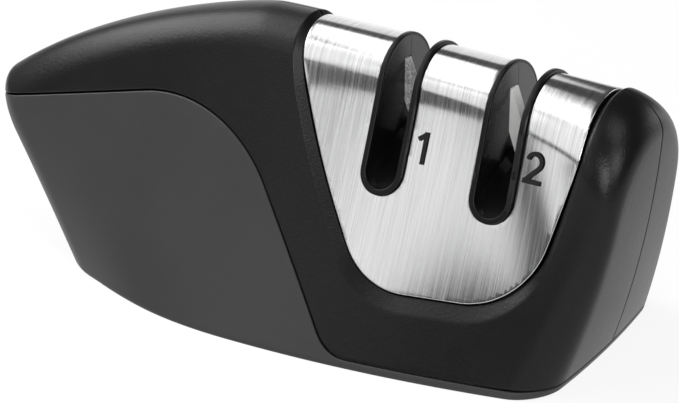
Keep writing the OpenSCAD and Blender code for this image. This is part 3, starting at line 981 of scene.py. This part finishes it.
@dataclass
class SlotRims:
    """The rounded black rims that stand out of the steel round each slot."""

    proud: float = 0.58
    edge_r: float = 0.24
    cover: float = 0.05
    foot: float = 0.4
    inner_wall: float = 0.5
    inner_end: tuple[float, float] = (0.1, 0.7)
    crease: float = 40.0

    def profile(self) -> list[tuple[float, float]]:
        """The rim's cross-section as (distance from the slot, depth)."""
        top = COVER_RECESS - self.proud
        outer, inner = LINER_T + self.cover, -self.cover
        turns = [math.radians(a) for a in (0, 15, 30, 45, 60, 75, 90)]
        r = self.edge_r
        line = [(outer, COVER_RECESS + self.foot)]
        line += [(outer - r + r * math.cos(a), top + r - r * math.sin(a)) for a in turns]
        line += [(inner + r - r * math.sin(a), top + r - r * math.cos(a)) for a in turns]
        aside, low = self.inner_end
        return line + [(inner, top + self.inner_wall), (inner + aside, top + low)]

    def build(self) -> None:
        """Makes one rim for each stage."""
        for stage, form in SLOTS.items():
            loops = [form.loop(grow, inset) for grow, inset in self.profile()]
            count = len(loops[0])
            faces = []
            for row in range(len(loops) - 1):
                for i in range(count):
                    j = (i + 1) % count
                    faces.append((row * count + i, row * count + j,
                                  (row + 1) * count + j, (row + 1) * count + i))
            make_piece(f"{stage.name.lower()}_slot_rim", np.vstack(loops), faces, RIM_BLACK,
                       "head", "cartridge_black", crease=self.crease)


@dataclass
class StageMarks:
    """Plain numerals printed on the steel to the right of the slots."""

    height: float = 5.6
    stroke: float = 0.8
    step: float = 0.25
    lift: float = 0.05
    places: dict[Stage, tuple[float, float]] = field(
        default_factory=lambda: {Stage.COARSE: (30.3, 38.2), Stage.FINE: (52.7, 38.9)}
    )

    @staticmethod
    def strokes(stage: Stage) -> list[np.ndarray]:
        """Middle lines of a numeral's strokes, in units of its height."""
        if stage is Stage.COARSE:
            return [np.array([(0.06, 0.5), (0.06, -0.5)]), np.array([(-0.2, 0.25), (0.06, 0.425)])]
        turn = np.radians(np.linspace(170, -40, 30))
        bow = np.stack([0.25 * np.cos(turn), 0.18 + 0.25 * np.sin(turn)], axis=1)
        foot = np.array([(-0.34, -0.43), (0.31, -0.43)])
        return [np.vstack([bow, [(-0.25, -0.41)]]), foot]

    def ribbon(self, middle: np.ndarray) -> tuple[np.ndarray, list[tuple[int, ...]]]:
        """A stroke's flat points and faces, three points wide."""
        run = np.concatenate([[0], np.cumsum(np.hypot(*np.diff(middle, axis=0).T))])
        at = np.linspace(0, run[-1], max(2, int(run[-1] / self.step)))
        line = np.stack([np.interp(at, run, middle[:, c]) for c in (0, 1)], axis=1)
        way = np.gradient(line, axis=0)
        way /= np.linalg.norm(way, axis=1, keepdims=True)
        side = np.stack([-way[:, 1], way[:, 0]], axis=1) * self.stroke / 2
        flat = np.stack([line + side, line, line - side], axis=1).reshape(-1, 2)
        faces = [(3 * i + c, 3 * i + c + 1, 3 * i + c + 4, 3 * i + c + 3)
                 for i in range(len(line) - 1) for c in (0, 1)]
        return flat, faces

    def build(self) -> None:
        """Prints one numeral beside each slot."""
        grid = BODY.grid(COVER_RECESS - self.lift)
        for stage, (x, z) in self.places.items():
            points: list[tuple[float, float, float]] = []
            faces: list[tuple[int, ...]] = []
            for stroke in self.strokes(stage):
                flat, made = self.ribbon(np.array([x, z]) + stroke * self.height)
                faces += [tuple(i + len(points) for i in f) for f in made]
                points += [(u, BODY.front_y(grid, u, w), w) for u, w in flat]
            make_piece(f"{stage.name.lower()}_mark", np.array(points), faces, MARK_BLACK,
                       "head", "cover_steel")


@dataclass
class PlainNodes:
    """Solids whose own shape is shown, each with its finish."""

    finishes: dict[str, Finish] = field(
        default_factory=lambda: {
            "base_plate": INNER_BLACK,
            "anti_slip_pad": PAD_RUBBER,
            "head_well": INNER_BLACK,
            "shell_dowels": FASTENER_STEEL,
            "base_screws": FASTENER_STEEL,
            "cartridge_front": CARTRIDGE_BLACK,
            "cartridge_rear": CARTRIDGE_BLACK,
            "coarse_plate_front": COARSE_GRIT,
            "coarse_plate_rear": COARSE_GRIT,
            "fine_plate_front": FINE_CERAMIC,
            "fine_plate_rear": FINE_CERAMIC,
            "coarse_holder_front": INNER_BLACK,
            "coarse_holder_rear": INNER_BLACK,
            "fine_holder_front": INNER_BLACK,
            "fine_holder_rear": INNER_BLACK,
            "plate_pins": FASTENER_STEEL,
            "cartridge_screws": FASTENER_STEEL,
        }
    )

    def dress(self) -> None:
        """Gives each solid its finish."""
        for node, finish in self.finishes.items():
            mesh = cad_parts[node].data
            mesh.materials.clear()
            mesh.materials.append(finish.material())
            LOG.info("%s: %s", node, finish.name)


@dataclass(frozen=True)
class SoftBox:
    """A rectangular lamp that faces the object, with the brightness of its panel."""

    name: str
    azimuth: float
    elevation: float
    distance: float
    width: float
    height: float
    brightness: float

    @property
    def power(self) -> float:
        """Power in watts that gives the brightness."""
        return self.brightness * math.pi * self.width * self.height * MM * MM


@dataclass
class Studio:
    """Camera, lamps, world and floor."""

    azimuth: float = 31.11
    elevation: float = 22.74
    distance: float = 374.1
    target: tuple[float, float, float] = (5.075, 0.0, 17.685)
    lens: float = 100.0
    sensor: float = 36.0
    lamp_aim: tuple[float, float, float] = (0.0, 0.0, 28.0)
    clip: tuple[float, float] = (0.01, 20.0)
    floor_half: float = 1400.0
    fill: float = 0.08
    horizon: tuple[float, float] = (0.0, 4.0)
    boxes: tuple[SoftBox, ...] = (
        SoftBox("key_box", -84.0, 42.0, 700.0, 500.0, 440.0, 5.4),
        SoftBox("top_box", -80.0, 71.5, 700.0, 760.0, 190.0, 2.0),
        SoftBox("left_panel", -38.0, 38.5, 700.0, 240.0, 540.0, 1.25),
        SoftBox("front_panel", -20.5, 29.5, 700.0, 130.0, 388.0, 1.25),
        SoftBox("low_panel", -37.5, 7.5, 900.0, 190.0, 120.0, 1.2),
        SoftBox("rear_panel", -143.0, 20.0, 900.0, 585.0, 600.0, 1.05),
        SoftBox("overhead_box", 80.0, 66.0, 700.0, 300.0, 300.0, 2.5),
        SoftBox("bevel_light", 60.0, 33.0, 700.0, 260.0, 260.0, 5.4),
        SoftBox("slot_light", 24.0, 26.0, 700.0, 270.0, 250.0, 7.5),
        SoftBox("back_panel", 152.0, 14.0, 900.0, 420.0, 330.0, 1.6),
    )

    @staticmethod
    def back(azimuth: float, elevation: float) -> Vector:
        """Direction from the object towards a place round it."""
        a, e = math.radians(azimuth), math.radians(elevation)
        return Vector((math.sin(a) * math.cos(e), -math.cos(a) * math.cos(e), math.sin(e)))

    def camera(self) -> None:
        """Sets the camera where the photograph was taken."""
        data = bpy.data.cameras.new("view_camera")
        data.lens, data.sensor_width, data.sensor_fit = self.lens, self.sensor, "HORIZONTAL"
        data.clip_start, data.clip_end = self.clip
        made = bpy.data.objects.new("view_camera", data)
        back = self.back(self.azimuth, self.elevation)
        made.location = (Vector(self.target) + back * self.distance) * MM
        made.rotation_euler = (-back).to_track_quat("-Z", "Y").to_euler()
        bpy.context.scene.collection.objects.link(made)
        bpy.context.scene.camera = made

    def lamps(self) -> None:
        """Sets the soft boxes."""
        middle = Vector(self.lamp_aim)
        for box in self.boxes:
            data = bpy.data.lights.new(box.name, "AREA")
            data.shape, data.size, data.size_y = "RECTANGLE", box.width * MM, box.height * MM
            data.energy = box.power
            made = bpy.data.objects.new(box.name, data)
            back = self.back(box.azimuth, box.elevation)
            made.location = (middle + back * box.distance) * MM
            made.rotation_euler = (-back).to_track_quat("-Z", "Y").to_euler()
            made.visible_camera = False
            bpy.context.scene.collection.objects.link(made)

    def world(self) -> None:
        """White along the horizon, dim fill above it."""
        world = bpy.data.worlds.new("studio_world")
        bpy.context.scene.world = world
        world.use_nodes = True
        graph = Graph(world.node_tree)
        way = graph.node("ShaderNodeTexCoord", output="Generated")
        height = graph.node("ShaderNodeSeparateXYZ", inputs={0: way}, output="Z")
        low, high = (math.sin(math.radians(a)) for a in self.horizon)
        strength = graph.span(height, low, high, 1.0, self.fill)
        light = graph.node(
            "ShaderNodeBackground", inputs={"Color": (1, 1, 1), "Strength": strength}
        )
        graph.node("ShaderNodeOutputWorld", inputs={"Surface": light})

    def floor(self) -> None:
        """Lays the pale floor."""
        h = self.floor_half * MM
        mesh = bpy.data.meshes.new("floor")
        corners = [(-h, -h, 0.0), (h, -h, 0.0), (h, h, 0.0), (-h, h, 0.0)]
        mesh.from_pydata(corners, [], [(0, 1, 2, 3)])
        mesh.materials.append(SWEEP_WHITE.material())
        made = bpy.data.objects.new("floor", mesh)
        bpy.context.scene.collection.objects.link(made)

    def build(self) -> None:
        """Sets up everything."""
        bpy.context.scene.view_settings.view_transform = "Standard"
        self.camera()
        self.lamps()
        self.world()
        self.floor()


def main() -> None:
    """Builds the pieces in order."""
    logging.basicConfig(level=logging.INFO, format="%(name)s %(message)s")
    Studio().build()
    ShellPair().build()
    GripBoot().build()
    SteelSaddle().build()
    SlotRims().build()
    StageMarks().build()
    PlainNodes().dress()


if __name__ == "__main__":
    main()
